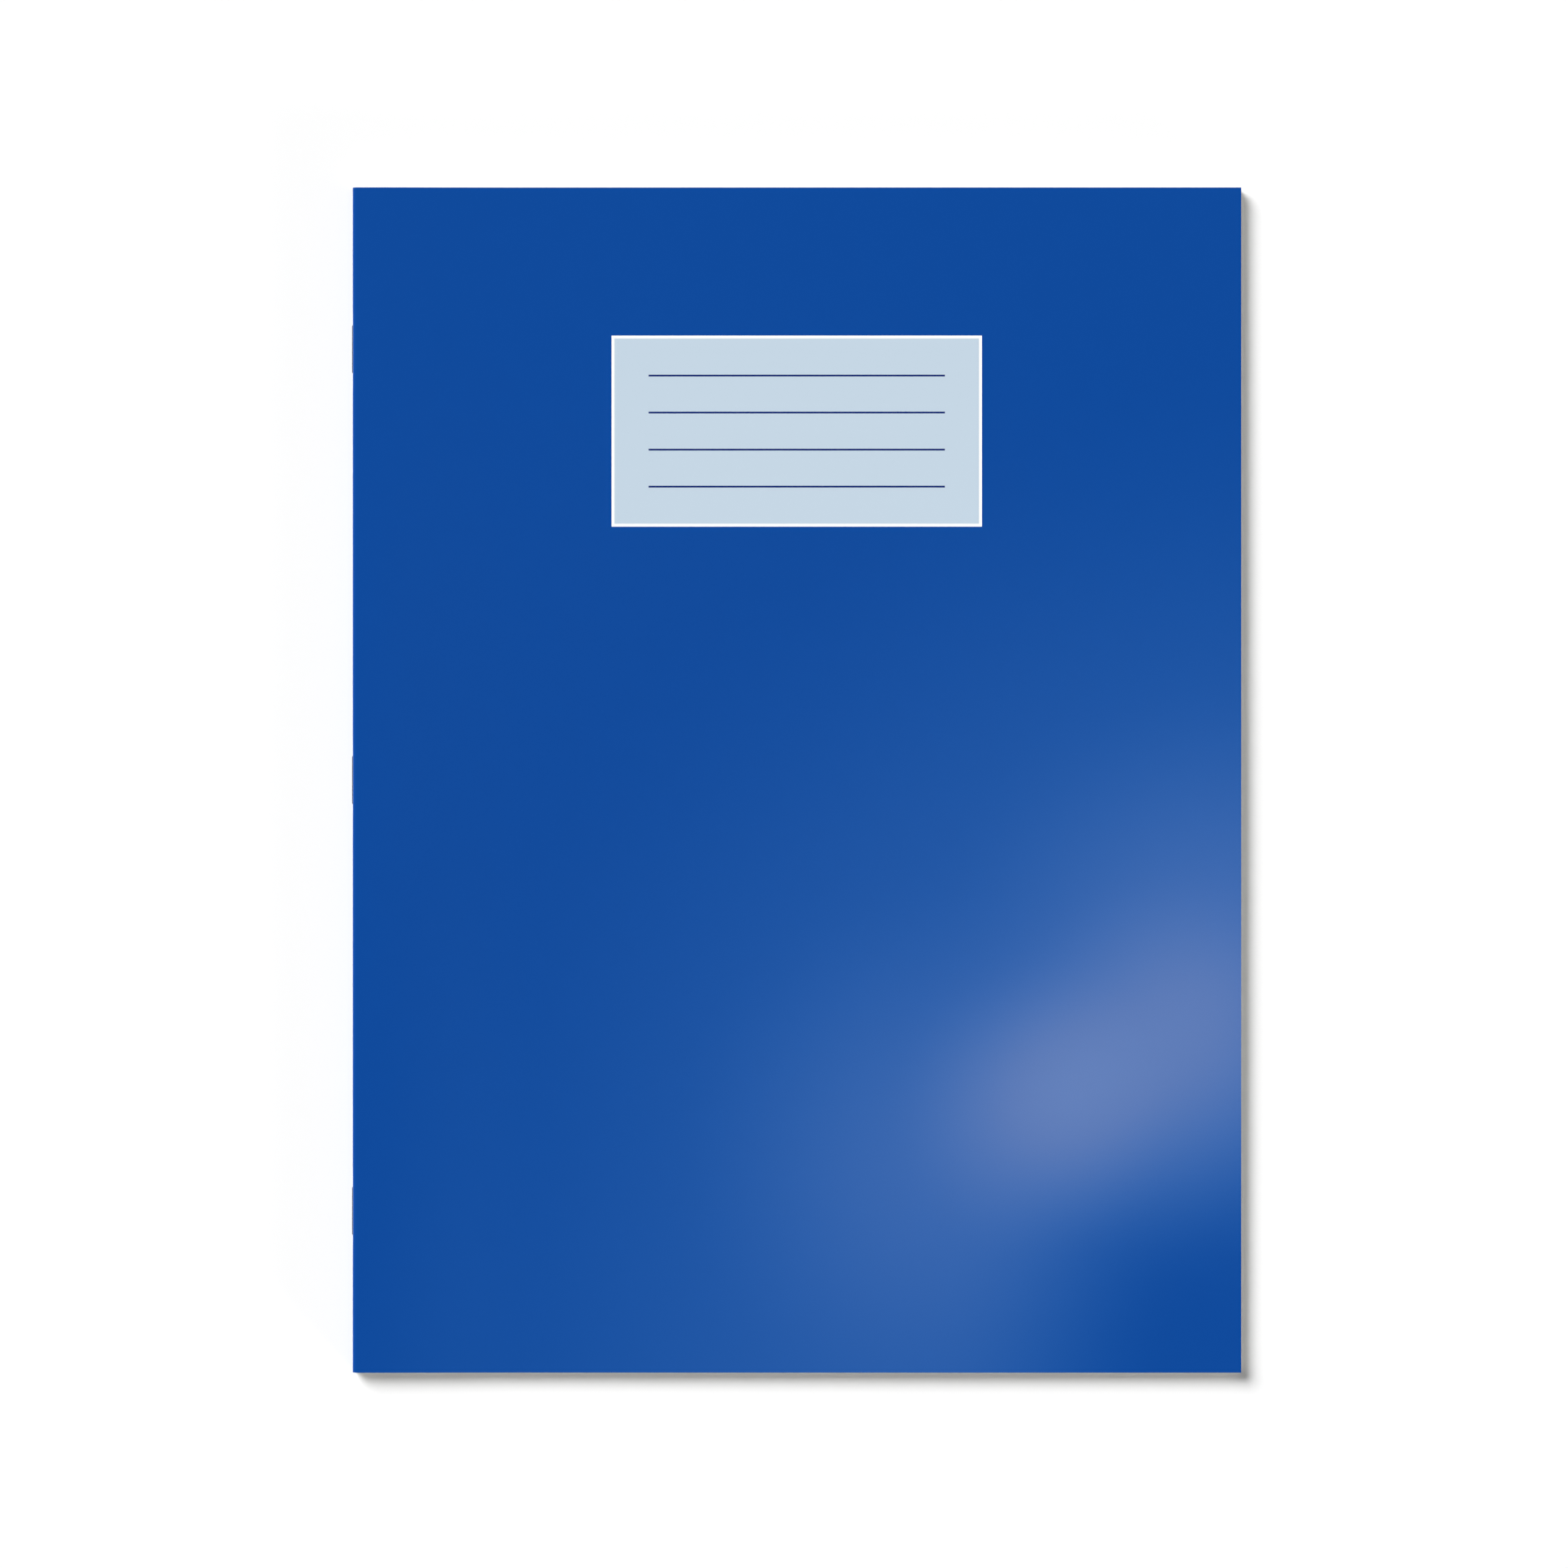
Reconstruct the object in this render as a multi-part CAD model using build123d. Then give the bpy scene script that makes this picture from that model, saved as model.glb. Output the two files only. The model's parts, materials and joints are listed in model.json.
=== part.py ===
from build123d import *
import os

# A stapled exercise book, closed and lying on its back cover.
#
# One folded card cover holds nested folded sheets of paper, and wire staples go through the fold of
# cover and sheets together. All folds are half rings about one line, the hinge line, on which the
# clinched ends of the staples lie. Each folded piece is split into a front leaf, a back leaf and a fold.
#
# Millimetres. +X runs from the spine to the fore edge, +Y to the head of the book, and +Z up, out of
# the front cover. The origin is on the table, under the middle of the closed book.

# The trimmed book
BOOK_HEIGHT = 320.0
BOOK_WIDTH = 240.0
COVER_THICKNESS = 0.30

# The folded sheets: each one gives two leaves, which is four pages
SHEET_COUNT = 16
PAPER_THICKNESS = 0.09
AIR_BETWEEN_SHEETS = 0.01

# The staples
STAPLE_NAMES = ("staple_tail", "staple_middle", "staple_head")
STAPLE_FROM_EDGE = 43.5  # middle of the end staples, from the head and from the tail
WIRE_DIAMETER = 0.45
CROWN_LENGTH = 13.5
CROWN_BEDDED = 0.20  # how deep the crown presses into the outside of the spine
CLINCH_LENGTH = 5.0
WIRE_BEND_RADIUS = 0.40  # on the wire's centre line
WIRE_HOLE_CLEARANCE = 0.02  # between the wire and the paper that it goes through
CLINCH_CLEARANCE = 0.05  # between the clinched ends and the innermost sheet

# Radii of the folds about the hinge line, from the middle of the book outwards
WIRE_RADIUS = WIRE_DIAMETER / 2
INNER_FOLD_RADIUS = WIRE_RADIUS + CLINCH_CLEARANCE
SHEET_PITCH = PAPER_THICKNESS + AIR_BETWEEN_SHEETS
COVER_FOLD_RADIUS = INNER_FOLD_RADIUS + SHEET_COUNT * SHEET_PITCH
SPINE_RADIUS = COVER_FOLD_RADIUS + COVER_THICKNESS

# Where the hinge line runs, and where the flat leaves start and end beside it
SPINE_X = -BOOK_WIDTH / 2
FORE_EDGE_X = BOOK_WIDTH / 2
HINGE_X = SPINE_X + SPINE_RADIUS
HINGE_Z = SPINE_RADIUS
LEAF_START_X = HINGE_X + INNER_FOLD_RADIUS


def flat_leaf(fold_radius, thickness, side):
    """The flat half of a folded piece: side is 1 for the front half and -1 for the back half."""
    height = HINGE_Z + side * (fold_radius + thickness / 2)
    leaf = Box(FORE_EDGE_X - LEAF_START_X, BOOK_HEIGHT, thickness)
    return Pos((LEAF_START_X + FORE_EDGE_X) / 2, 0, height) * leaf


def fold_section(fold_radius, thickness):
    """The section of a fold: a half ring, with a short straight run to each of its two leaves."""
    outer = fold_radius + thickness
    run = LEAF_START_X - HINGE_X
    edges = [
        Line((run, outer), (0, outer)),
        ThreePointArc((0, outer), (-outer, 0), (0, -outer)),
        Line((0, -outer), (run, -outer)),
        Line((run, -outer), (run, -fold_radius)),
        Line((run, -fold_radius), (0, -fold_radius)),
        ThreePointArc((0, -fold_radius), (-fold_radius, 0), (0, fold_radius)),
        Line((0, fold_radius), (run, fold_radius)),
        Line((run, fold_radius), (run, outer)),
    ]
    return make_face(edges)


def fold(fold_radius, thickness, wire_holes):
    """The bent strip that joins a front leaf to its back leaf, pierced by the staples."""
    section = Plane.XZ * fold_section(fold_radius, thickness)
    strip = extrude(section, amount=BOOK_HEIGHT / 2, both=True)
    return Pos(HINGE_X, 0, HINGE_Z) * strip - wire_holes


def bent_wire(radius, middle_y):
    """A closed staple's wire: crown outside the spine, two legs, and ends clinched on the hinge line."""
    crown_x = SPINE_X + CROWN_BEDDED - WIRE_RADIUS
    leg_offset = CROWN_LENGTH / 2 - WIRE_RADIUS
    end_offset = leg_offset - CLINCH_LENGTH
    path = FilletPolyline(
        (HINGE_X, middle_y - end_offset, HINGE_Z),
        (HINGE_X, middle_y - leg_offset, HINGE_Z),
        (crown_x, middle_y - leg_offset, HINGE_Z),
        (crown_x, middle_y + leg_offset, HINGE_Z),
        (HINGE_X, middle_y + leg_offset, HINGE_Z),
        (HINGE_X, middle_y + end_offset, HINGE_Z),
        radius=WIRE_BEND_RADIUS,
    )
    section = Plane(origin=path @ 0, z_dir=path % 0) * Circle(radius)
    return sweep(section, path=path)


def build_parts():
    """All pieces of the book by name."""
    end_staple_y = BOOK_HEIGHT / 2 - STAPLE_FROM_EDGE
    staple_spacing = 2 * end_staple_y / (len(STAPLE_NAMES) - 1)
    staple_places = [staple_spacing * index - end_staple_y for index in range(len(STAPLE_NAMES))]
    wire_holes = [bent_wire(WIRE_RADIUS + WIRE_HOLE_CLEARANCE, y) for y in staple_places]

    pieces = {}
    for name, y in zip(STAPLE_NAMES, staple_places):
        pieces[name] = bent_wire(WIRE_RADIUS, y)

    pieces["front_cover"] = flat_leaf(COVER_FOLD_RADIUS, COVER_THICKNESS, 1)
    pieces["cover_spine"] = fold(COVER_FOLD_RADIUS, COVER_THICKNESS, wire_holes)
    pieces["back_cover"] = flat_leaf(COVER_FOLD_RADIUS, COVER_THICKNESS, -1)

    # Sheet 1 lies against the cover, and the last sheet is the middle one
    for number in range(1, SHEET_COUNT + 1):
        fold_radius = INNER_FOLD_RADIUS + (SHEET_COUNT - number) * SHEET_PITCH
        sheet = f"sheet_{number:02d}"
        pieces[f"{sheet}_front_leaf"] = flat_leaf(fold_radius, PAPER_THICKNESS, 1)
        pieces[f"{sheet}_fold"] = fold(fold_radius, PAPER_THICKNESS, wire_holes)
        pieces[f"{sheet}_back_leaf"] = flat_leaf(fold_radius, PAPER_THICKNESS, -1)
    return pieces


os.makedirs("parts", exist_ok=True)
for node, shape in build_parts().items():
    export_step(shape, f"parts/{node}.step")
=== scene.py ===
"""A stapled exercise book, closed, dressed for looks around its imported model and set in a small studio."""

import json
import math

import bmesh
import bpy
from bpy.props import FloatProperty, FloatVectorProperty, IntProperty, PointerProperty
from mathutils import Euler, Matrix, Vector


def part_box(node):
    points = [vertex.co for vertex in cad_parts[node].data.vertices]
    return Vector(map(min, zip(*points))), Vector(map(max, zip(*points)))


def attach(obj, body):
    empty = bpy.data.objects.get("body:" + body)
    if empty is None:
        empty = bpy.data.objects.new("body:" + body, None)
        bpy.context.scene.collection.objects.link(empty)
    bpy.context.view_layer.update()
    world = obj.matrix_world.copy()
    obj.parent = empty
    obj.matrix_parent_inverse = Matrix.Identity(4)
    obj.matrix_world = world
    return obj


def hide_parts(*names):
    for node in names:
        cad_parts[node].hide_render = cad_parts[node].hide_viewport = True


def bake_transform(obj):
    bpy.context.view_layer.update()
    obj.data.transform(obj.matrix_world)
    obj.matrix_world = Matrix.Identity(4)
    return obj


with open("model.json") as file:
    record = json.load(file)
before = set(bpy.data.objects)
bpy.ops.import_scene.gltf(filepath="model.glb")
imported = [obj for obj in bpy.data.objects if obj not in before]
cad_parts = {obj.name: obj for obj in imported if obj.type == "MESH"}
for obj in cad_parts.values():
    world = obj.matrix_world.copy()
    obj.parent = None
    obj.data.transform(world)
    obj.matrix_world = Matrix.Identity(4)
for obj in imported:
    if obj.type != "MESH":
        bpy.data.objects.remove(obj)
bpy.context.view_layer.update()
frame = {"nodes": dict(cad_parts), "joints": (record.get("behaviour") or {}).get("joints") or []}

bl_info = {
    "name": "Exercise Book",
    "version": (1, 0, 0),
    "blender": (4, 5, 0),
    "location": "View3D > Sidebar > Exercise Book",
    "description": "Makes a stapled exercise book with a printed cover and ruled sheets, and its studio",
    "category": "Add Mesh",
}

MM = 0.001

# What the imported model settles: the hinge line that every fold turns about, the spine's outer radius
# about it, where the front leaves start beside it, and the names of the sheets and the staples.
HINGE = Vector(next(j["pos_m"] for j in frame["joints"] if j["name"] == "front_leaf_01_turn"))
SPINE_RADIUS = HINGE.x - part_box("cover_spine")[0].x
LEAF_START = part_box("front_cover")[0].x
SHEETS = sorted(name[:8] for name in frame["nodes"] if name.startswith("sheet_") and name.endswith("_fold"))
STAPLES = sorted(name for name in frame["nodes"] if name.startswith("staple_"))

# Every piece of paper and card carries a UV map of itself laid out flat, in millimetres: U runs from
# the middle of the fold, plus to the front and minus to the back, and V from the middle of the book to
# the head. Print and ruling follow it, so they stay put when a leaf turns.
FLAT_UV = "laid_flat_mm"

# The order of a piece's material slots, by the side that a face is on.
OUTSIDE, INSIDE, RIM = 0, 1, 2

# Rows of faces from tail to head of the cover and of a sheet, and steps of faces round a fold.
COVER_ROWS, SHEET_ROWS, FOLD_STEPS = 80, 24, 24

# Sockets of a Mix node, which its names don't tell apart: two numbers in, then two colours in and one out.
NUMBER_A, NUMBER_B = 2, 3
COLOUR_A, COLOUR_B, COLOUR_OUT = 6, 7, 2


def linear(hex_colour):
    """A colour written as sRGB hex, as the linear values that Blender's sockets take."""
    channels = [int(hex_colour[i:i + 2], 16) / 255 for i in (1, 3, 5)]
    return [c / 12.92 if c <= 0.04045 else ((c + 0.055) / 1.055) ** 2.4 for c in channels] + [1.0]


class BookShape(bpy.types.PropertyGroup):
    """How the folded card and paper of the book really lie, and how its staples are bent."""

    settle: FloatProperty(
        name="Settle", unit="LENGTH", default=0.50 * MM,
        description="How far the front half sinks beside the fold, which closes the middle of the book")
    settle_run: FloatProperty(
        name="Settle Run", unit="LENGTH", default=45.0 * MM,
        description="Distance from the fold over which the front cover sinks")
    loft: FloatProperty(
        name="Loft", unit="LENGTH", default=0.42 * MM,
        description="How far the front cover stands up off its sheets, which fan out below it")
    proud: FloatProperty(
        name="Pages Proud", unit="LENGTH", default=0.04 * MM,
        description="How far the trimmed leaves stand out past the cover, on average")
    fold_press: FloatProperty(
        name="Fold Press", default=5.0, min=2.0, max=8.0,
        description="How square the folds are pressed: 2 is a round fold, and more is squarer")
    end_draw: FloatProperty(
        name="End Draw", unit="LENGTH", default=0.06 * MM,
        description="How far the two ends of a fold draw in at the middle of the spine")
    cover_bend: FloatProperty(
        name="Cover Bend", unit="LENGTH", default=2.0 * MM,
        description="Width of the strip in which the front cover bends when it is opened alone")
    dent: FloatProperty(
        name="Staple Dent", unit="LENGTH", default=0.08 * MM,
        description="How deep the spine is pressed in around a staple")
    clinch: FloatProperty(
        name="Clinch", unit="LENGTH", default=5.0 * MM,
        description="Length of each bent end of a staple inside the book")
    wire_bend: FloatProperty(
        name="Wire Bend", unit="LENGTH", default=0.40 * MM,
        description="Radius of the staple's bends, on the wire's centre line")


class CoverPrint(bpy.types.PropertyGroup):
    """The plain print on the cover, with a name panel that has nothing written on it."""

    ground: FloatVectorProperty(
        name="Cover", subtype="COLOR", size=4, default=linear("#104A9C"),
        description="Ink that covers the whole outside of the cover")
    panel: FloatVectorProperty(
        name="Name Panel", subtype="COLOR", size=4, default=linear("#C5D6E4"),
        description="Pale tint inside the name panel")
    border: FloatVectorProperty(
        name="Panel Border", subtype="COLOR", size=4, default=linear("#FFFFFF"),
        description="Line of bare card round the name panel")
    ink: FloatVectorProperty(
        name="Writing Lines", subtype="COLOR", size=4, default=linear("#13266C"),
        description="Lines to write on in the name panel")
    panel_size: FloatVectorProperty(
        name="Panel Size", unit="LENGTH", size=2, default=(98.4 * MM, 50.0 * MM),
        description="Width and height of the tint inside the border")
    panel_drop: FloatProperty(
        name="Panel Drop", unit="LENGTH", default=40.8 * MM,
        description="From the head of the book to the top of the tint")
    border_width: FloatProperty(
        name="Border Width", unit="LENGTH", default=0.8 * MM,
        description="Width of the line round the tint")
    line_length: FloatProperty(
        name="Line Length", unit="LENGTH", default=80.0 * MM,
        description="Length of a writing line")
    line_width: FloatProperty(
        name="Line Width", unit="LENGTH", default=0.5 * MM,
        description="Thickness of a writing line")
    line_count: IntProperty(
        name="Lines", default=4, min=1,
        description="Number of writing lines, spread evenly over the panel")


class PageRuling(bpy.types.PropertyGroup):
    """Paper and ruling of the pages inside."""

    paper: FloatVectorProperty(
        name="Paper", subtype="COLOR", size=4, default=linear("#F0EFEA"),
        description="Colour of the uncoated paper")
    feint: FloatVectorProperty(
        name="Feint", subtype="COLOR", size=4, default=linear("#8FB0CF"),
        description="Colour of the lines to write on")
    margin: FloatVectorProperty(
        name="Margin", subtype="COLOR", size=4, default=linear("#D98A94"),
        description="Colour of the margin line")
    feint_spacing: FloatProperty(
        name="Feint Spacing", unit="LENGTH", default=8.0 * MM,
        description="Distance from line to line")
    top_space: FloatProperty(
        name="Top Space", unit="LENGTH", default=28.0 * MM,
        description="From the head of the page to its first line")
    line_count: IntProperty(
        name="Lines", default=36, min=1,
        description="Number of lines on a page")
    margin_in: FloatProperty(
        name="Margin In", unit="LENGTH", default=25.0 * MM,
        description="From the left edge of each page to its margin line")
    line_width: FloatProperty(
        name="Line Width", unit="LENGTH", default=0.30 * MM,
        description="Thickness of the ruled lines")


class StudioSettings(bpy.types.PropertyGroup):
    """Camera and light, looking straight down on the book."""

    view_width: FloatProperty(
        name="View Width", unit="LENGTH", default=423.24 * MM,
        description="Width of the square view at the height of the cover")
    view_middle: FloatVectorProperty(
        name="View Middle", unit="LENGTH", size=2, default=(-3.44 * MM, -1.07 * MM),
        description="Where the camera stands, from the middle of the book")
    lens: FloatProperty(
        name="Lens", default=100.0,
        description="Focal length of the camera in millimetres")
    sweep: FloatVectorProperty(
        name="Floor", subtype="COLOR", size=4, default=linear("#FEFEFE"),
        description="Colour of the matt paper that the book lies on")
    key_share: FloatProperty(
        name="Key Light", subtype="FACTOR", default=0.83, min=0.0, max=1.0,
        description="Share of the light that comes from the upper left")
    key_height: FloatProperty(
        name="Key Height", subtype="ANGLE", default=math.radians(38),
        description="Height of the key light")
    key_softness: FloatProperty(
        name="Key Softness", subtype="ANGLE", default=math.radians(36),
        description="How wide the key light looks from the book")
    key_turn: FloatProperty(
        name="Key Turn", subtype="ANGLE", default=math.radians(-45),
        description="Turn of the key light about the upright, from the left")
    key_mirrored: FloatProperty(
        name="Key Mirrored", default=0.9, min=0.0,
        description="How bright the key light mirrors in the gloss film, where white paper is 1")
    key_fade: FloatProperty(
        name="Key Fade", subtype="ANGLE", default=math.radians(15),
        description="How far from its middle the mirrored key light fades out")
    top_share: FloatProperty(
        name="Top Light", subtype="FACTOR", default=0.05, min=0.0, max=1.0,
        description="Share of the light that comes straight down")
    top_softness: FloatProperty(
        name="Top Softness", subtype="ANGLE", default=math.radians(10),
        description="How wide the top light looks from the book")
    fill_share: FloatProperty(
        name="Fill Light", subtype="FACTOR", default=0.05, min=0.0, max=1.0,
        description="Share of the light that comes in low from the lower right, on to the cut edges")
    fill_height: FloatProperty(
        name="Fill Height", subtype="ANGLE", default=math.radians(5),
        description="Height of the fill light")
    fill_softness: FloatProperty(
        name="Fill Softness", subtype="ANGLE", default=math.radians(8),
        description="How wide the fill light looks from the book")
    fill_mirrored: FloatProperty(
        name="Fill Mirrored", default=0.32, min=0.0,
        description="How bright the fill light mirrors in the gloss film, where white paper is 1")
    fill_fade: FloatProperty(
        name="Fill Fade", subtype="ANGLE", default=math.radians(15),
        description="How far from its middle the mirrored fill light fades out")
    sky_share: FloatProperty(
        name="Room Light", subtype="FACTOR", default=0.12, min=0.0, max=1.0,
        description="Share of the light that comes from all round")
    skirting: FloatProperty(
        name="Skirting", subtype="ANGLE", default=math.radians(4),
        description="How high the white foot of the walls goes, in the room that mirrors in the gloss film")
    glow: FloatVectorProperty(
        name="Gloss Light", subtype="COLOR", size=4, default=(0.82, 1.0, 1.07, 1.0),
        description="Colour of the soft light that mirrors in the gloss film, where it is brightest")
    glow_edge: FloatVectorProperty(
        name="Gloss Light Edge", subtype="COLOR", size=4, default=(0.30, 1.0, 1.75, 1.0),
        description="Colour of that light where it fades out")


def flat_distance(point, radius):
    """How far a point of a folded piece lies from the middle of its fold, once it is laid out flat."""
    out, up = point.x - HINGE.x, point.z - HINGE.z
    if out < 0:
        return radius * math.atan2(up, -out)
    return math.copysign(out + radius * math.pi / 2, up)


def depth(point):
    """How far a point of a folded piece lies from the hinge line, measured square to the piece."""
    out, up = point.x - HINGE.x, point.z - HINGE.z
    return abs(up) if out > 0 else math.hypot(out, up)


def eased(share):
    """A smooth step from 0 to 1."""
    share = min(max(share, 0.0), 1.0)
    return share * share * (3 - 2 * share)


def add_node(tree, kind, sockets=None, **options):
    """Adds a node with its options, and gives each named socket a plain value or another node's output."""
    node = tree.nodes.new(kind)
    for name, value in options.items():
        setattr(node, name, value)
    for key, value in (sockets or {}).items():
        if isinstance(value, bpy.types.NodeSocket):
            tree.links.new(value, node.inputs[key])
        else:
            node.inputs[key].default_value = value
    return node


def start_finish(name, **sockets):
    """A new material with its one Principled shader, whose sockets take these plain values."""
    material = bpy.data.materials.new(name)
    material.use_nodes = True
    shader = material.node_tree.nodes["Principled BSDF"]
    for key, value in sockets.items():
        shader.inputs[key.replace("_", " ")].default_value = value
    return material, material.node_tree, shader


def gloss_film_over_print():
    """Offset-printed card under gloss film: even ink, and one clear, mirror-like film over print and card."""
    cover = bpy.context.scene.cover_print
    material, tree, shader = start_finish("gloss_film_over_printed_card", Roughness=0.05, IOR=1.5)
    flat = add_node(tree, "ShaderNodeUVMap", uv_map=FLAT_UV).outputs["UV"]
    place = add_node(tree, "ShaderNodeSeparateXYZ", {"Vector": flat})
    across, along = place.outputs["X"], place.outputs["Y"]

    # Where the name panel is on the flat cover, in millimetres.
    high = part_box("front_cover")[1]
    middle = flat_distance(Vector((0, 0, high.z)), SPINE_RADIUS) / MM
    wide, tall = cover.panel_size[0] / MM, cover.panel_size[1] / MM
    top = (high.y - cover.panel_drop) / MM
    spacing = tall / (cover.line_count + 1)

    # Ink takes a little unevenly on card, in soft patches about 8 mm across.
    patches = add_node(tree, "ShaderNodeTexNoise", {"Vector": flat, "Scale": 1 / 8, "Detail": 2})
    density = add_node(
        tree, "ShaderNodeMapRange",
        {"Value": patches.outputs[0], "From Min": 0.3, "From Max": 0.7, "To Min": 0.994, "To Max": 1.006})
    ground = add_node(
        tree, "ShaderNodeMix", {"Factor": 1.0, COLOUR_A: cover.ground, COLOUR_B: density.outputs[0]},
        data_type="RGBA", blend_type="MULTIPLY")
    colour = ground.outputs[COLOUR_OUT]

    # Bare card shows as a line round the panel, then the tint inside it.
    for tone, reach in ((cover.border, cover.border_width / MM), (cover.panel, 0.0)):
        in_width = add_node(
            tree, "ShaderNodeMath", {0: across, 1: middle, 2: wide / 2 + reach}, operation="COMPARE")
        in_height = add_node(
            tree, "ShaderNodeMath", {0: along, 1: top - tall / 2, 2: tall / 2 + reach}, operation="COMPARE")
        inside = add_node(
            tree, "ShaderNodeMath", {0: in_width.outputs[0], 1: in_height.outputs[0]}, operation="MULTIPLY")
        laid = add_node(
            tree, "ShaderNodeMix", {"Factor": inside.outputs[0], COLOUR_A: colour, COLOUR_B: tone},
            data_type="RGBA")
        colour = laid.outputs[COLOUR_OUT]

    # The writing lines stand a whole spacing apart, from the panel's top edge down.
    drop = add_node(tree, "ShaderNodeMath", {0: top, 1: along}, operation="SUBTRACT")
    off_line = add_node(
        tree, "ShaderNodeMath", {0: drop.outputs[0], 1: spacing / 2}, operation="PINGPONG")
    on_line = add_node(
        tree, "ShaderNodeMath", {0: off_line.outputs[0], 1: cover.line_width / 2 / MM},
        operation="LESS_THAN")
    in_length = add_node(
        tree, "ShaderNodeMath", {0: across, 1: middle, 2: cover.line_length / 2 / MM}, operation="COMPARE")
    in_rows = add_node(
        tree, "ShaderNodeMath", {0: along, 1: top - tall / 2, 2: tall / 2 - spacing / 2},
        operation="COMPARE")
    in_block = add_node(
        tree, "ShaderNodeMath", {0: in_length.outputs[0], 1: in_rows.outputs[0]}, operation="MULTIPLY")
    lines = add_node(
        tree, "ShaderNodeMath", {0: on_line.outputs[0], 1: in_block.outputs[0]}, operation="MULTIPLY")
    printed = add_node(
        tree, "ShaderNodeMix", {"Factor": lines.outputs[0], COLOUR_A: colour, COLOUR_B: cover.ink},
        data_type="RGBA")
    tree.links.new(printed.outputs[COLOUR_OUT], shader.inputs["Base Color"])

    # The film follows the card under it, a faint orange peel about 1.2 mm from hump to hump.
    peel = add_node(tree, "ShaderNodeTexNoise", {"Vector": flat, "Scale": 1 / 1.2, "Detail": 1})
    bump = add_node(
        tree, "ShaderNodeBump", {"Height": peel.outputs[0], "Strength": 0.04, "Distance": 0.02 * MM})
    tree.links.new(bump.outputs[0], shader.inputs["Normal"])
    return material


def bare_card(name, colour):
    """Uncoated card, as inside the cover, and cut edges: matt and dry, with a felt-like tooth."""
    material, tree, shader = start_finish(name, Roughness=0.8, IOR=1.45)
    place = add_node(tree, "ShaderNodeTexCoord").outputs["Object"]
    # Fibres and their tooth are about 0.4 mm across.
    fibres = add_node(tree, "ShaderNodeTexNoise", {"Vector": place, "Scale": 1 / (0.4 * MM), "Detail": 3})
    shade = add_node(
        tree, "ShaderNodeMapRange",
        {"Value": fibres.outputs[0], "From Min": 0.3, "From Max": 0.7, "To Min": 0.95, "To Max": 1.0})
    mixed = add_node(
        tree, "ShaderNodeMix", {"Factor": 1.0, COLOUR_A: colour, COLOUR_B: shade.outputs[0]},
        data_type="RGBA", blend_type="MULTIPLY")
    tree.links.new(mixed.outputs[COLOUR_OUT], shader.inputs["Base Color"])
    bump = add_node(
        tree, "ShaderNodeBump", {"Height": fibres.outputs[0], "Strength": 0.15, "Distance": 0.02 * MM})
    tree.links.new(bump.outputs[0], shader.inputs["Normal"])
    return material


def ruled_paper(name, margin_at):
    """Uncoated writing paper with feint ruling: matt, a little cloudy close up, with fine pale lines."""
    ruling = bpy.context.scene.page_ruling
    material, tree, shader = start_finish(name, Roughness=0.85, IOR=1.45)
    flat = add_node(tree, "ShaderNodeUVMap", uv_map=FLAT_UV).outputs["UV"]
    place = add_node(tree, "ShaderNodeSeparateXYZ", {"Vector": flat})
    half_line = ruling.line_width / 2 / MM
    spacing = ruling.feint_spacing / MM
    first = (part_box("front_cover")[1].y - ruling.top_space) / MM
    block = (ruling.line_count - 1) * spacing

    # Paper is cloudy where its fibres lie thicker, in patches about 4 mm across.
    clouds = add_node(tree, "ShaderNodeTexNoise", {"Vector": flat, "Scale": 1 / 4, "Detail": 3})
    shade = add_node(
        tree, "ShaderNodeMapRange",
        {"Value": clouds.outputs[0], "From Min": 0.3, "From Max": 0.7, "To Min": 0.975, "To Max": 1.0})
    plain = add_node(
        tree, "ShaderNodeMix", {"Factor": 1.0, COLOUR_A: ruling.paper, COLOUR_B: shade.outputs[0]},
        data_type="RGBA", blend_type="MULTIPLY")

    # Feint lines, one spacing apart.
    drop = add_node(tree, "ShaderNodeMath", {0: first, 1: place.outputs["Y"]}, operation="SUBTRACT")
    off_line = add_node(
        tree, "ShaderNodeMath", {0: drop.outputs[0], 1: spacing / 2}, operation="PINGPONG")
    on_line = add_node(
        tree, "ShaderNodeMath", {0: off_line.outputs[0], 1: half_line}, operation="LESS_THAN")
    in_block = add_node(
        tree, "ShaderNodeMath", {0: drop.outputs[0], 1: block / 2, 2: block / 2 + spacing / 2},
        operation="COMPARE")
    feint = add_node(
        tree, "ShaderNodeMath", {0: on_line.outputs[0], 1: in_block.outputs[0]}, operation="MULTIPLY")
    lined = add_node(
        tree, "ShaderNodeMix",
        {"Factor": feint.outputs[0], COLOUR_A: plain.outputs[COLOUR_OUT], COLOUR_B: ruling.feint},
        data_type="RGBA")

    # One margin line, at the same distance from the fold on front and back leaves.
    from_fold = add_node(tree, "ShaderNodeMath", {0: place.outputs["X"]}, operation="ABSOLUTE")
    margin = add_node(
        tree, "ShaderNodeMath", {0: from_fold.outputs[0], 1: margin_at / MM, 2: half_line},
        operation="COMPARE")
    ruled = add_node(
        tree, "ShaderNodeMix",
        {"Factor": margin.outputs[0], COLOUR_A: lined.outputs[COLOUR_OUT], COLOUR_B: ruling.margin},
        data_type="RGBA")
    tree.links.new(ruled.outputs[COLOUR_OUT], shader.inputs["Base Color"])

    # Tooth of the paper, about 0.3 mm from fibre to fibre.
    tooth = add_node(tree, "ShaderNodeTexNoise", {"Vector": flat, "Scale": 1 / 0.3, "Detail": 2})
    bump = add_node(
        tree, "ShaderNodeBump", {"Height": tooth.outputs[0], "Strength": 0.1, "Distance": 0.01 * MM})
    tree.links.new(bump.outputs[0], shader.inputs["Normal"])
    return material


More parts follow.
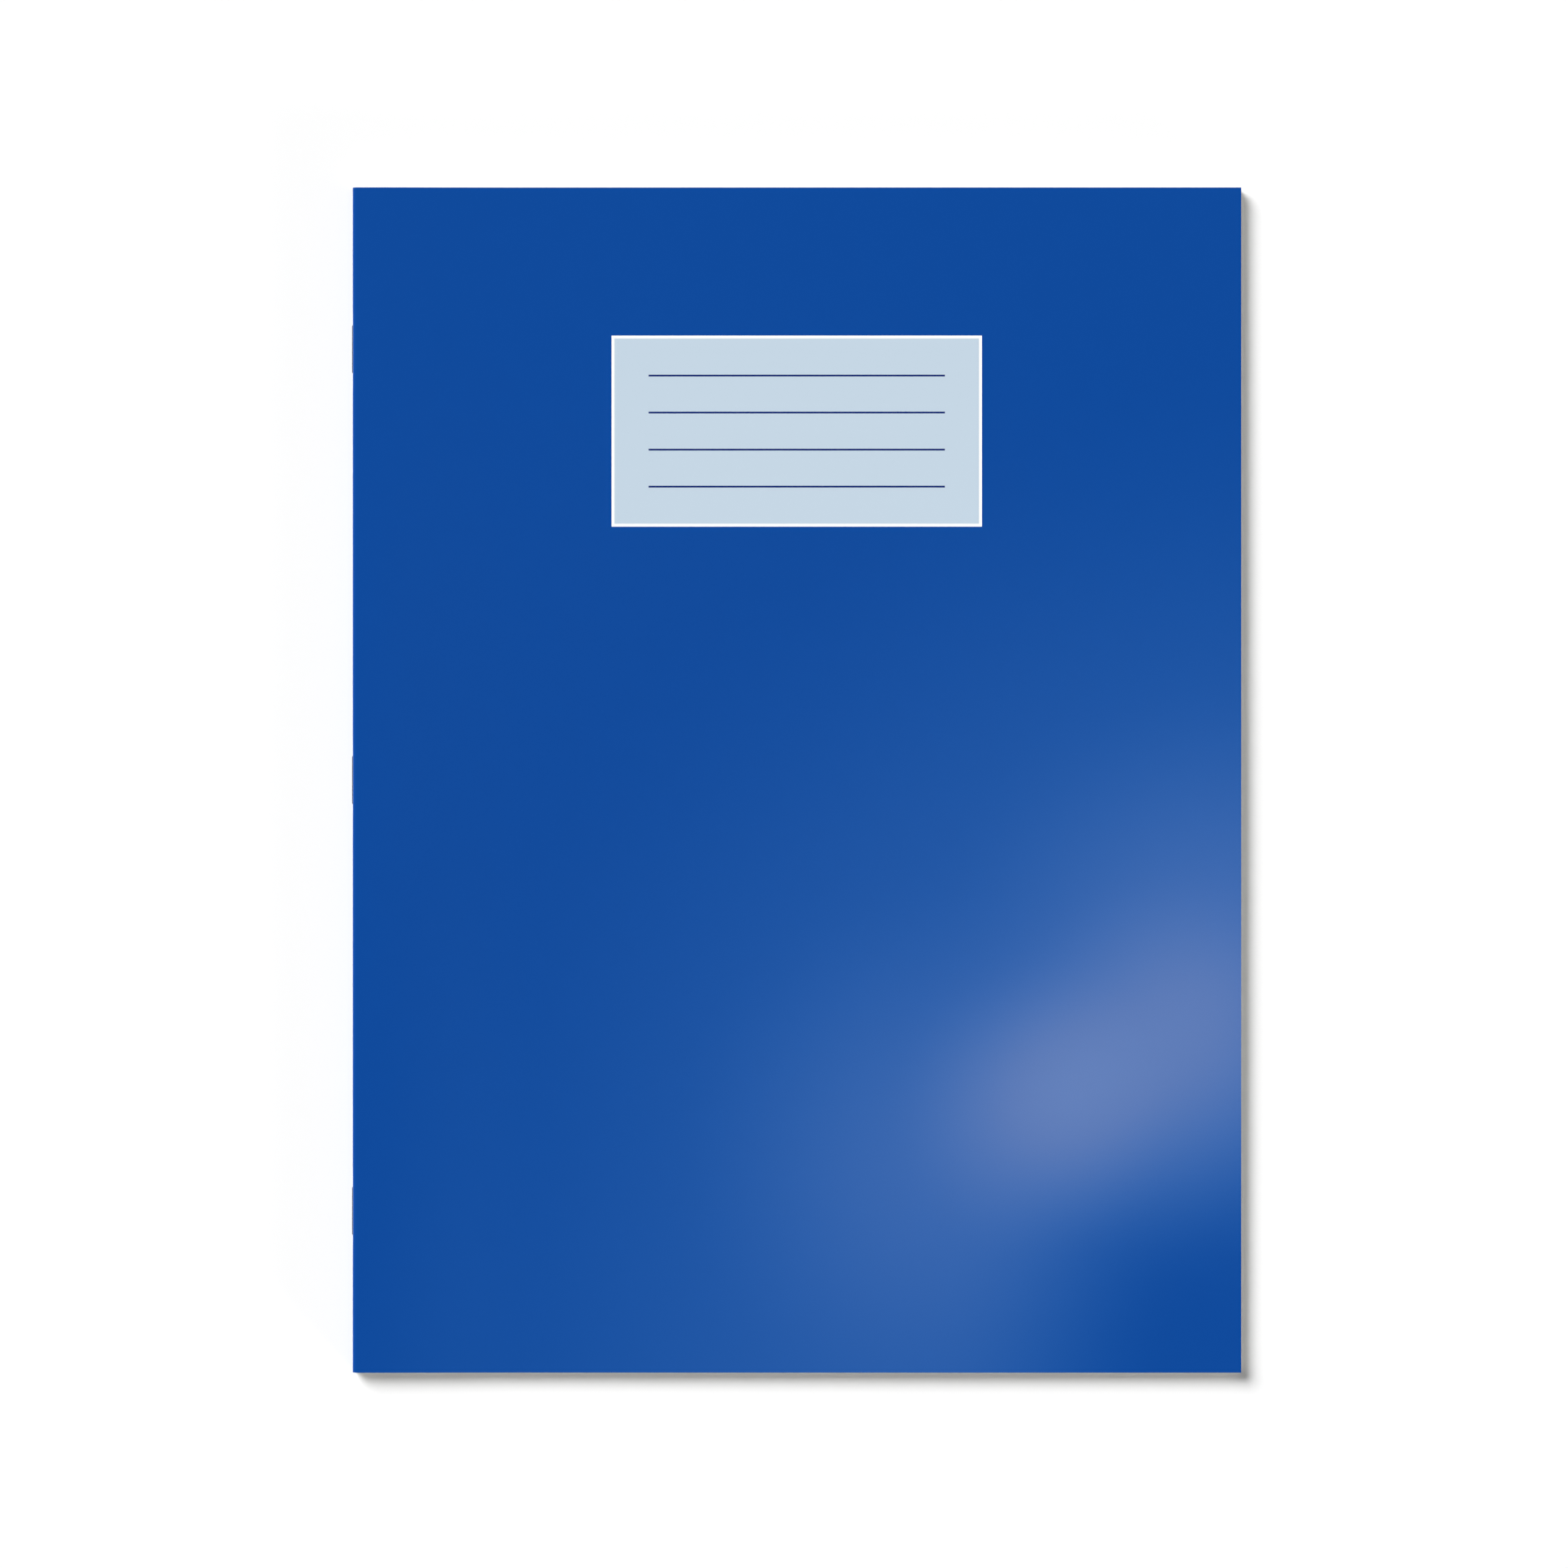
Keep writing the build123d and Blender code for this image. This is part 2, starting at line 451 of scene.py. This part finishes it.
def galvanised_wire():
    """Drawn steel wire with a thin zinc coat: shiny grey under a dull bloom, with fine lines along it."""
    material, tree, shader = start_finish("galvanised_steel_wire", Metallic=0.92)
    place = add_node(tree, "ShaderNodeTexCoord").outputs["Object"]
    # Drawing lines are about 0.05 mm apart across the wire and a few millimetres long.
    stretched = add_node(
        tree, "ShaderNodeMapping",
        {"Vector": place, "Scale": (1 / (0.05 * MM), 1 / (3 * MM), 1 / (0.05 * MM))})
    drawn = add_node(
        tree, "ShaderNodeTexNoise", {"Vector": stretched.outputs[0], "Scale": 1.0, "Detail": 2})
    tone = add_node(
        tree, "ShaderNodeMix",
        {"Factor": drawn.outputs[0], COLOUR_A: linear("#6E7277"), COLOUR_B: linear("#94989D")},
        data_type="RGBA")
    tree.links.new(tone.outputs[COLOUR_OUT], shader.inputs["Base Color"])
    polish = add_node(
        tree, "ShaderNodeMapRange", {"Value": drawn.outputs[0], "To Min": 0.18, "To Max": 0.32})
    tree.links.new(polish.outputs[0], shader.inputs["Roughness"])
    return material


def only(kind, geometry):
    """The parts of one kind among those that a bmesh operator gives back."""
    return [part for part in geometry if isinstance(part, kind)]


def verts_of(edges):
    """The vertices of some edges, each of them once and in order."""
    return list(dict.fromkeys(vert for edge in edges for vert in edge.verts))


def extrude_on(bm, edges, along):
    """Extrudes a line or a ring of edges, and gives back the new edges at its far end."""
    grown = bmesh.ops.extrude_edge_only(bm, edges=edges)["geom"]
    bmesh.ops.translate(bm, verts=only(bmesh.types.BMVert, grown), vec=along)
    return only(bmesh.types.BMEdge, grown)


def spin_on(bm, edges, centre, axis, angle, steps):
    """Spins a line or a ring of edges about an axis, and gives back the new edges at its far end."""
    turned = bmesh.ops.spin(
        bm, geom=verts_of(edges) + edges, cent=centre, axis=axis, angle=angle, steps=steps)
    return only(bmesh.types.BMEdge, turned["geom_last"])


def lay_line(bm, x, z, tail, head, rows):
    """A straight line of edges from tail to head, from which a leaf or a fold grows."""
    edge = bm.edges.new([bm.verts.new((x, y, z)) for y in (tail, head)])
    bmesh.ops.subdivide_edges(bm, edges=[edge], cuts=rows - 1)
    return bm.edges[:]


def grow_leaf(bm, edges, width, columns=20, bend=0.0, strips=10):
    """Grows a leaf from a line of edges towards the fore edge, in columns that get wider on the way.

    The first part, as wide as bend, is divided into even strips, because it bends there.
    """
    distances = [bend * step / strips for step in range(1, strips + 1)] if bend else []
    distances += [bend + (width - bend) * (step / columns) ** 2 for step in range(1, columns + 1)]
    reached = 0.0
    for distance in distances:
        edges = extrude_on(bm, edges, (distance - reached, 0, 0))
        reached = distance


def thicken(bm, radius, thickness, slots):
    """Gives a folded face its thickness, inwards, and its flat UV map, and each side its material slot.

    slots holds four slot numbers: outside and inside of the front half, then of the back half.
    """
    bmesh.ops.recalc_face_normals(bm, faces=bm.faces[:])
    bm.normal_update()
    widest = max(bm.faces, key=lambda face: face.calc_center_median().x)
    if widest.normal.z * (widest.calc_center_median().z - HINGE.z) < 0:
        bmesh.ops.reverse_faces(bm, faces=bm.faces[:])
    bmesh.ops.solidify(bm, geom=bm.faces[:], thickness=thickness)
    flat = bm.loops.layers.uv.new(FLAT_UV)
    for face in bm.faces:
        centre = face.calc_center_median()
        # The level is 0 on the outside, 1 on the inside and about half way on the rim.
        level = (radius - depth(centre)) / thickness
        half = 0 if centre.z > HINGE.z else 2
        on_rim = abs(level - 0.5) < 0.25
        face.material_index = RIM if on_rim else slots[half + round(level)]
        for loop in face.loops:
            loop[flat].uv = (flat_distance(loop.vert.co, radius) / MM, loop.vert.co.y / MM)


def press_fold(bm):
    """Presses the round fold squarer, as in a stack of books, and draws its ends in at the spine."""
    shape = bpy.context.scene.book_shape
    power = shape.fold_press
    half_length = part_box("front_cover")[1].y
    for vert in bm.verts:
        out, up = vert.co.x - HINGE.x, vert.co.z - HINGE.z
        if out < 0:
            reach = math.hypot(out, up)
            out_share, up_share = abs(out / reach), abs(up / reach)
            squarer = (out_share ** power + up_share ** power) ** (-1 / power)
            drawn = 1 - out_share ** 2 * shape.end_draw / half_length
            vert.co = HINGE + Vector((out * squarer, vert.co.y * drawn, up * squarer))


def make_fold_and_back(bm, radius, thickness, tail, head, rows, width, slots):
    """Makes a fold with its back leaf, grown from the line where they meet, and presses the fold.

    The fold ends in the short straight run beside it, where the front leaf starts.
    """
    start = lay_line(bm, HINGE.x, HINGE.z - radius, tail, head, rows)
    top = spin_on(bm, start, HINGE, (0, 1, 0), math.pi, FOLD_STEPS)
    grow_leaf(bm, top, LEAF_START - HINGE.x, columns=1)
    grow_leaf(bm, start, width)
    thicken(bm, radius, thickness, slots)
    press_fold(bm)


# How the front half lies. The loft follows this share of a half wave from the fold to the fore edge,
# droops by this share at head and tail, and the innermost sheet sinks over this share of the cover's run.
LOFT_WAVE, END_DROOP, INNER_RUN = 0.62, 0.28, 0.15


def settle_front(bm, rank):
    """Lets a leaf of the front half sink beside the fold and lift towards the fore edge, most at rank 1."""
    shape = bpy.context.scene.book_shape
    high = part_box("front_cover")[1]
    run = shape.settle_run * (INNER_RUN + (1 - INNER_RUN) * rank)
    for vert in bm.verts:
        out = vert.co.x - HINGE.x
        across, along = out / (high.x - HINGE.x), vert.co.y / high.y
        droop = END_DROOP * (1 - math.cos(math.pi * along)) / 2
        lift = math.sin(LOFT_WAVE * math.pi * across) * (1 - droop)
        vert.co.z += shape.loft * rank * lift - shape.settle * eased(out / run)


def make_piece(bm, name, materials):
    """Turns a finished bmesh into a piece of the book, smooth except at its cut edges."""
    mesh = bpy.data.meshes.new(name)
    bm.to_mesh(mesh)
    bm.free()
    for material in materials:
        mesh.materials.append(material)
    mesh.shade_smooth()
    mesh.set_sharp_from_angle(angle=math.radians(35))
    piece = bpy.data.objects.new(name, mesh)
    bpy.context.scene.collection.objects.link(piece)
    return piece


class EXERCISEBOOK_OT_make_cover(bpy.types.Operator):
    """Makes the printed card cover: the back with the spine, and the front"""

    bl_idname = "exercisebook.make_cover"
    bl_label = "Make Cover"

    # How far a staple's dent runs on past its ends, and how far round the spine it reaches.
    dent_run = 6 * MM
    dent_turn = math.radians(60)

    def execute(self, context):
        shape = context.scene.book_shape
        low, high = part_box("front_cover")
        card = high.z - low.z
        slots = (OUTSIDE, INSIDE, OUTSIDE, INSIDE)
        materials = [
            gloss_film_over_print(),
            bare_card("bare_white_card", linear("#EFEEE9")),
            bare_card("cut_card_edge", linear("#DEDEDC")),
        ]

        bm = bmesh.new()
        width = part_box("back_cover")[1].x - HINGE.x
        make_fold_and_back(bm, SPINE_RADIUS, card, low.y, high.y, COVER_ROWS, width, slots)
        self.ink_seam(bm)
        for name in STAPLES:
            self.press_in(bm, name, shape.dent)
        back = make_piece(bm, "printed_back_cover_and_spine", materials)
        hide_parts("back_cover", "cover_spine")
        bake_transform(back)

        # The front bends in a narrow strip beside the spine when it is opened by itself.
        bm = bmesh.new()
        start = lay_line(bm, low.x, high.z, low.y, high.y, COVER_ROWS)
        grow_leaf(bm, start, high.x - low.x, bend=shape.cover_bend)
        thicken(bm, SPINE_RADIUS, card, slots)
        self.ink_seam(bm)
        settle_front(bm, rank=1.0)
        front = make_piece(bm, "printed_front_cover", materials)
        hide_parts("front_cover")
        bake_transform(front)
        return {"FINISHED"}

    def ink_seam(self, bm):
        """Inks the rim where the spine and the front meet, because the card isn't cut there."""
        for face in bm.faces:
            off_seam = abs(face.calc_center_median().x - LEAF_START)
            if face.material_index == RIM and off_seam < 0.01 * MM:
                face.material_index = OUTSIDE

    def press_in(self, bm, name, dent):
        """Presses the spine in around one staple."""
        low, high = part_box(name)
        middle, reach = (low.y + high.y) / 2, (high.y - low.y) / 2
        for vert in bm.verts:
            out, up = vert.co.x - HINGE.x, vert.co.z - HINGE.z
            if out < 0:
                past_end = (abs(vert.co.y - middle) - reach) / self.dent_run
                round_spine = abs(math.atan2(up, -out)) / self.dent_turn
                press = dent * (1 - eased(past_end)) * (1 - eased(round_spine))
                vert.co += press * Vector((-out, 0, -up)).normalized()


class EXERCISEBOOK_OT_make_sheets(bpy.types.Operator):
    """Makes the nested ruled sheets, each as a back leaf with its fold and a front leaf"""

    bl_idname = "exercisebook.make_sheets"
    bl_label = "Make Sheets"

    # No two sheets are trimmed quite alike: they differ by this share of how far they stand out, in a
    # wave that goes on by this angle from sheet to sheet, and end this share of it short of the head.
    trim_spread = 0.25
    trim_step = 2.4
    head_short = 0.5

    def execute(self, context):
        shape, ruling = context.scene.book_shape, context.scene.page_ruling
        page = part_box("front_cover")[1].x - HINGE.x
        materials = [
            ruled_paper("feint_ruled_paper_right_pages", ruling.margin_in),
            ruled_paper("feint_ruled_paper_left_pages", page - ruling.margin_in),
            # The cut edges are painted a little darker than the pages, as shade in the gaps between the
            # sheets.
            bare_card("cut_paper_edge_painted_gap_shade", linear("#DAD9D3")),
        ]
        right_page, left_page = OUTSIDE, INSIDE
        slots = (right_page, left_page, left_page, right_page)
        for index, sheet in enumerate(SHEETS):
            low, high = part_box(sheet + "_front_leaf")
            radius = HINGE.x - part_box(sheet + "_fold")[0].x
            paper = high.z - low.z
            number = sheet[-2:]
            proud = shape.proud * (1 + self.trim_spread * math.sin(self.trim_step * index))
            tail, head = low.y - proud, high.y - self.head_short * shape.proud
            width = high.x + proud - HINGE.x

            bm = bmesh.new()
            make_fold_and_back(bm, radius, paper, tail, head, SHEET_ROWS, width, slots)
            back = make_piece(bm, f"ruled_back_leaf_{number}", materials)
            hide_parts(sheet + "_back_leaf", sheet + "_fold")
            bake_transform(back)

            bm = bmesh.new()
            start = lay_line(bm, low.x, high.z, tail, head, SHEET_ROWS)
            grow_leaf(bm, start, width - (low.x - HINGE.x))
            thicken(bm, radius, paper, slots)
            settle_front(bm, rank=1 - (index + 1) / (len(SHEETS) + 1))
            front = make_piece(bm, f"ruled_front_leaf_{number}", materials)
            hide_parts(sheet + "_front_leaf")
            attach(front, f"front_leaf_{number}")
        return {"FINISHED"}


class EXERCISEBOOK_OT_make_staples(bpy.types.Operator):
    """Makes the wire staples that go through the fold and are clinched in the middle of the book"""

    bl_idname = "exercisebook.make_staples"
    bl_label = "Make Staples"

    # Faces round the wire and along a bend, and how far the cutter squeezes the wire's end in X and Z.
    wire_sides = 16
    bend_steps = 6
    squeezed = (0.45, 1, 0.9)

    def execute(self, context):
        shape = context.scene.book_shape
        wire = galvanised_wire()
        for name in STAPLES:
            low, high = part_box(name)
            thick = (high.z - low.z) / 2
            crown = low.x + thick
            bend = shape.wire_bend
            bend_y = (high.y - low.y) / 2 - thick - bend

            # Half a staple, drawn from the middle of its crown, round two bends, to its cut end.
            bm = bmesh.new()
            facing_y = Matrix.Translation((crown, 0, HINGE.z)) @ Matrix.Rotation(math.pi / 2, 4, "X")
            bmesh.ops.create_circle(bm, segments=self.wire_sides, radius=thick, matrix=facing_y)
            ring = extrude_on(bm, bm.edges[:], (0, bend_y, 0))
            ring = self.bend_round(bm, ring, (crown + bend, bend_y, HINGE.z))
            ring = extrude_on(bm, ring, (HINGE.x - crown - 2 * bend, 0, 0))
            ring = self.bend_round(bm, ring, (HINGE.x - bend, bend_y, HINGE.z))
            ring = extrude_on(bm, ring, (0, -shape.clinch + 2 * thick, 0))
            ring = extrude_on(bm, ring, (0, -thick, 0))
            to_end = Matrix.Translation((-HINGE.x, 0, -HINGE.z))
            bmesh.ops.scale(bm, vec=self.squeezed, space=to_end, verts=verts_of(ring))
            bmesh.ops.contextual_create(bm, geom=ring)

            half = bm.verts[:] + bm.edges[:] + bm.faces[:]
            bmesh.ops.mirror(bm, geom=half, merge_dist=0.001 * MM, axis="Y")
            bmesh.ops.recalc_face_normals(bm, faces=bm.faces[:])
            bmesh.ops.translate(bm, verts=bm.verts[:], vec=(0, (low.y + high.y) / 2, 0))
            staple = make_piece(bm, name.replace("staple_", "wire_staple_"), [wire])
            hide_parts(name)
            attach(staple, "spine")
        return {"FINISHED"}

    def bend_round(self, bm, ring, centre):
        """Bends the wire a quarter turn about a point, on from its open ring of edges."""
        return spin_on(bm, ring, centre, (0, 0, 1), -math.pi / 2, self.bend_steps)


class EXERCISEBOOK_OT_make_studio(bpy.types.Operator):
    """Makes the floor, the light and the camera that looks straight down on the book"""

    bl_idname = "exercisebook.make_studio"
    bl_label = "Make Studio"

    # The camera's sensor in millimetres, and half the size of the floor and its drop below the book.
    sensor = 36
    floor_reach = 6.0
    floor_drop = 0.02 * MM

    # What mirrors in the gloss film, as places on the cover: one wide ring of light round a dark middle,
    # then four soft spots on it. All in millimetres, with the share of light that each adds.
    ring_middle = (161, -164)
    ring_reach = (60, 125, 133, 288)
    ring_light = 0.035
    spots = (
        ((65, -90), 44, 0.058),
        ((103, -78), 57, 0.062),
        ((118, -57), 91, 0.053),
        ((39, -102), 80, 0.035),
    )
    brightest = 0.13
    film_reflectance = 0.04
    panel_reach = 0.7

    def execute(self, context):
        studio = context.scene.book_studio
        context.scene.view_settings.view_transform = "Standard"
        cover_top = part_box("front_cover")[1].z
        camera = bpy.data.cameras.new("straight_down")
        camera.lens = studio.lens
        camera.sensor_width = self.sensor
        distance = studio.view_width * studio.lens / self.sensor
        stand = bpy.data.objects.new("straight_down", camera)
        stand.location = (*studio.view_middle, cover_top + distance)
        context.scene.collection.objects.link(stand)
        context.scene.camera = stand
        self.lay_floor(context, studio)
        self.hang_lamps(context, studio)
        self.hang_gloss_light(context, studio, stand.location)
        self.light_room(context, studio)
        return {"FINISHED"}

    def add_panel(self, context, name, reach, location, material):
        """Adds a flat square that belongs to the stage."""
        bm = bmesh.new()
        bmesh.ops.create_grid(bm, x_segments=1, y_segments=1, size=reach)
        mesh = bpy.data.meshes.new(name)
        bm.to_mesh(mesh)
        bm.free()
        mesh.materials.append(material)
        panel = bpy.data.objects.new(name, mesh)
        panel.location = location
        context.scene.collection.objects.link(panel)
        return panel

    def lay_floor(self, context, studio):
        """Lays a wide sheet of matt white paper that takes the shadow."""
        paper = start_finish(
            "matt_white_paper_floor", Roughness=1.0, Base_Color=studio.sweep, Specular_IOR_Level=0.0)[0]
        self.add_panel(context, "white_floor", self.floor_reach, (0, 0, -self.floor_drop), paper)

    def hang_lamps(self, context, studio):
        """Hangs the soft key light at the upper left, one straight above and a low one at the lower right.

        The gloss film mirrors none of them: the room holds softer images of the key and the fill light.
        """
        for name, share, height, softness, turn in (
            ("key_light", studio.key_share, studio.key_height, studio.key_softness, studio.key_turn),
            ("top_light", studio.top_share, math.pi / 2, studio.top_softness, 0),
            ("fill_light", studio.fill_share, studio.fill_height, studio.fill_softness,
             studio.key_turn + math.pi),
        ):
            lamp = bpy.data.lights.new(name, "SUN")
            lamp.energy = share * math.pi / math.sin(height)
            lamp.angle = softness
            stand = bpy.data.objects.new(name, lamp)
            stand.rotation_euler = (0, height - math.pi / 2, turn)
            stand.visible_glossy = False
            context.scene.collection.objects.link(stand)

    def hang_gloss_light(self, context, studio, camera):
        """Hangs a panel at the camera's height that lights nothing, and only mirrors in the cover."""
        def mirrored(place):
            """Where a light at the camera's height is, to mirror at a place on the cover."""
            return Vector((2 * place[0] * MM - camera.x, 2 * place[1] * MM - camera.y, camera.z))

        middle = mirrored(self.ring_middle)
        material = bpy.data.materials.new("soft_gloss_light")
        material.use_nodes = True
        tree = material.node_tree
        tree.nodes.clear()
        here = add_node(tree, "ShaderNodeTexCoord").outputs["Object"]
        rise_from, rise_to, fall_from, fall_to = [2 * reach * MM for reach in self.ring_reach]
        away = add_node(tree, "ShaderNodeVectorMath", {0: here}, operation="LENGTH").outputs["Value"]
        rise = add_node(
            tree, "ShaderNodeMapRange",
            {"Value": away, "From Min": rise_from, "From Max": rise_to, "To Min": 0.0,
             "To Max": self.ring_light},
            interpolation_type="SMOOTHSTEP")
        fall = add_node(
            tree, "ShaderNodeMapRange",
            {"Value": away, "From Min": fall_from, "From Max": fall_to, "To Min": 1.0, "To Max": 0.0},
            interpolation_type="SMOOTHSTEP")
        ring = add_node(
            tree, "ShaderNodeMath", {0: rise.outputs[0], 1: fall.outputs[0]}, operation="MULTIPLY")
        light = ring.outputs[0]
        for spot, reach, share in self.spots:
            from_spot = add_node(
                tree, "ShaderNodeVectorMath", {0: here, 1: mirrored(spot) - middle}, operation="DISTANCE")
            fade = add_node(
                tree, "ShaderNodeMapRange",
                {"Value": from_spot.outputs["Value"], "From Min": 0.0, "From Max": 2 * reach * MM,
                 "To Min": share, "To Max": 0.0},
                interpolation_type="SMOOTHSTEP")
            added = add_node(tree, "ShaderNodeMath", {0: light, 1: fade.outputs[0]}, operation="ADD")
            light = added.outputs[0]

        # The film mirrors only a few hundredths of the light, so the panel is that much brighter.
        strength = add_node(
            tree, "ShaderNodeMath", {0: light, 1: self.film_reflectance}, operation="DIVIDE")
        level = add_node(tree, "ShaderNodeMath", {0: light, 1: self.brightest}, operation="DIVIDE")
        tint = add_node(
            tree, "ShaderNodeMix",
            {"Factor": level.outputs[0], COLOUR_A: studio.glow_edge, COLOUR_B: studio.glow},
            data_type="RGBA")
        glow = add_node(
            tree, "ShaderNodeEmission",
            {"Color": tint.outputs[COLOUR_OUT], "Strength": strength.outputs[0]})
        add_node(tree, "ShaderNodeOutputMaterial", {"Surface": glow.outputs[0]})
        panel = self.add_panel(context, "gloss_light", self.panel_reach, middle, material)
        panel.visible_camera = False
        panel.visible_diffuse = False
        panel.visible_shadow = False

    def light_room(self, context, studio):
        """Makes a white room for the camera, and for gloss to mirror a dark one with a white skirting.

        The dark room also holds the images of the key and the fill light.
        """
        world = bpy.data.worlds.new("studio_room")
        world.use_nodes = True
        context.scene.world = world
        tree = world.node_tree
        tree.nodes.clear()
        rays = add_node(tree, "ShaderNodeLightPath")
        looking = add_node(tree, "ShaderNodeTexCoord").outputs["Generated"]
        up = add_node(tree, "ShaderNodeSeparateXYZ", {"Vector": looking})
        walls = add_node(
            tree, "ShaderNodeMapRange",
            {"Value": up.outputs["Z"], "From Min": 0.0, "From Max": math.sin(studio.skirting),
             "To Min": 1.0, "To Max": 0.0},
            interpolation_type="SMOOTHSTEP")
        mirrored = walls.outputs[0]
        for height, turn, brightness, fade in (
            (studio.key_height, studio.key_turn, studio.key_mirrored, studio.key_fade),
            (studio.fill_height, studio.key_turn + math.pi, studio.fill_mirrored, studio.fill_fade),
        ):
            to_lamp = Euler((0, height - math.pi / 2, turn)).to_matrix().col[2]
            aim = add_node(tree, "ShaderNodeVectorMath", {0: looking, 1: to_lamp}, operation="DOT_PRODUCT")
            image = add_node(
                tree, "ShaderNodeMapRange",
                {"Value": aim.outputs["Value"], "From Min": math.cos(fade), "From Max": 1.0,
                 "To Min": 0.0, "To Max": brightness},
                interpolation_type="SMOOTHSTEP")
            added = add_node(tree, "ShaderNodeMath", {0: mirrored, 1: image.outputs[0]}, operation="ADD")
            mirrored = added.outputs[0]
        gloss_or_glass = add_node(
            tree, "ShaderNodeMath",
            {0: rays.outputs["Is Glossy Ray"], 1: rays.outputs["Is Transmission Ray"]},
            operation="MAXIMUM")
        unseen = add_node(
            tree, "ShaderNodeMix",
            {"Factor": gloss_or_glass.outputs[0], NUMBER_A: studio.sky_share, NUMBER_B: mirrored},
            data_type="FLOAT")
        strength = add_node(
            tree, "ShaderNodeMix",
            {"Factor": rays.outputs["Is Camera Ray"], NUMBER_A: unseen.outputs[0], NUMBER_B: 1.0},
            data_type="FLOAT")
        room = add_node(
            tree, "ShaderNodeBackground", {"Color": (1, 1, 1, 1), "Strength": strength.outputs[0]})
        add_node(tree, "ShaderNodeOutputWorld", {"Surface": room.outputs[0]})


class EXERCISEBOOK_PT_panel(bpy.types.Panel):
    """Lists the pieces of the book in the sidebar, each group of settings with what it makes"""

    bl_idname = "EXERCISEBOOK_PT_panel"
    bl_label = "Exercise Book"
    bl_space_type = "VIEW_3D"
    bl_region_type = "UI"
    bl_category = "Exercise Book"

    def draw(self, context):
        scene = context.scene
        for group, operator in (
            (scene.cover_print, EXERCISEBOOK_OT_make_cover),
            (scene.page_ruling, EXERCISEBOOK_OT_make_sheets),
            (scene.book_shape, EXERCISEBOOK_OT_make_staples),
            (scene.book_studio, EXERCISEBOOK_OT_make_studio),
        ):
            box = self.layout.box()
            for name in group.__annotations__:
                box.prop(group, name)
            box.operator(operator.bl_idname)


CLASSES = (
    BookShape,
    CoverPrint,
    PageRuling,
    StudioSettings,
    EXERCISEBOOK_OT_make_cover,
    EXERCISEBOOK_OT_make_sheets,
    EXERCISEBOOK_OT_make_staples,
    EXERCISEBOOK_OT_make_studio,
    EXERCISEBOOK_PT_panel,
)


def register():
    """Registers the add-on's classes and its settings in the scene."""
    for cls in CLASSES:
        bpy.utils.register_class(cls)
    bpy.types.Scene.book_shape = PointerProperty(type=BookShape)
    bpy.types.Scene.cover_print = PointerProperty(type=CoverPrint)
    bpy.types.Scene.page_ruling = PointerProperty(type=PageRuling)
    bpy.types.Scene.book_studio = PointerProperty(type=StudioSettings)


def unregister():
    """Takes the settings and the classes away again."""
    del bpy.types.Scene.book_studio
    del bpy.types.Scene.page_ruling
    del bpy.types.Scene.cover_print
    del bpy.types.Scene.book_shape
    for cls in reversed(CLASSES):
        bpy.utils.unregister_class(cls)


def main():
    """Makes the whole book and its studio."""
    register()
    bpy.ops.exercisebook.make_cover()
    bpy.ops.exercisebook.make_sheets()
    bpy.ops.exercisebook.make_staples()
    bpy.ops.exercisebook.make_studio()


if __name__ == "__main__":
    main()
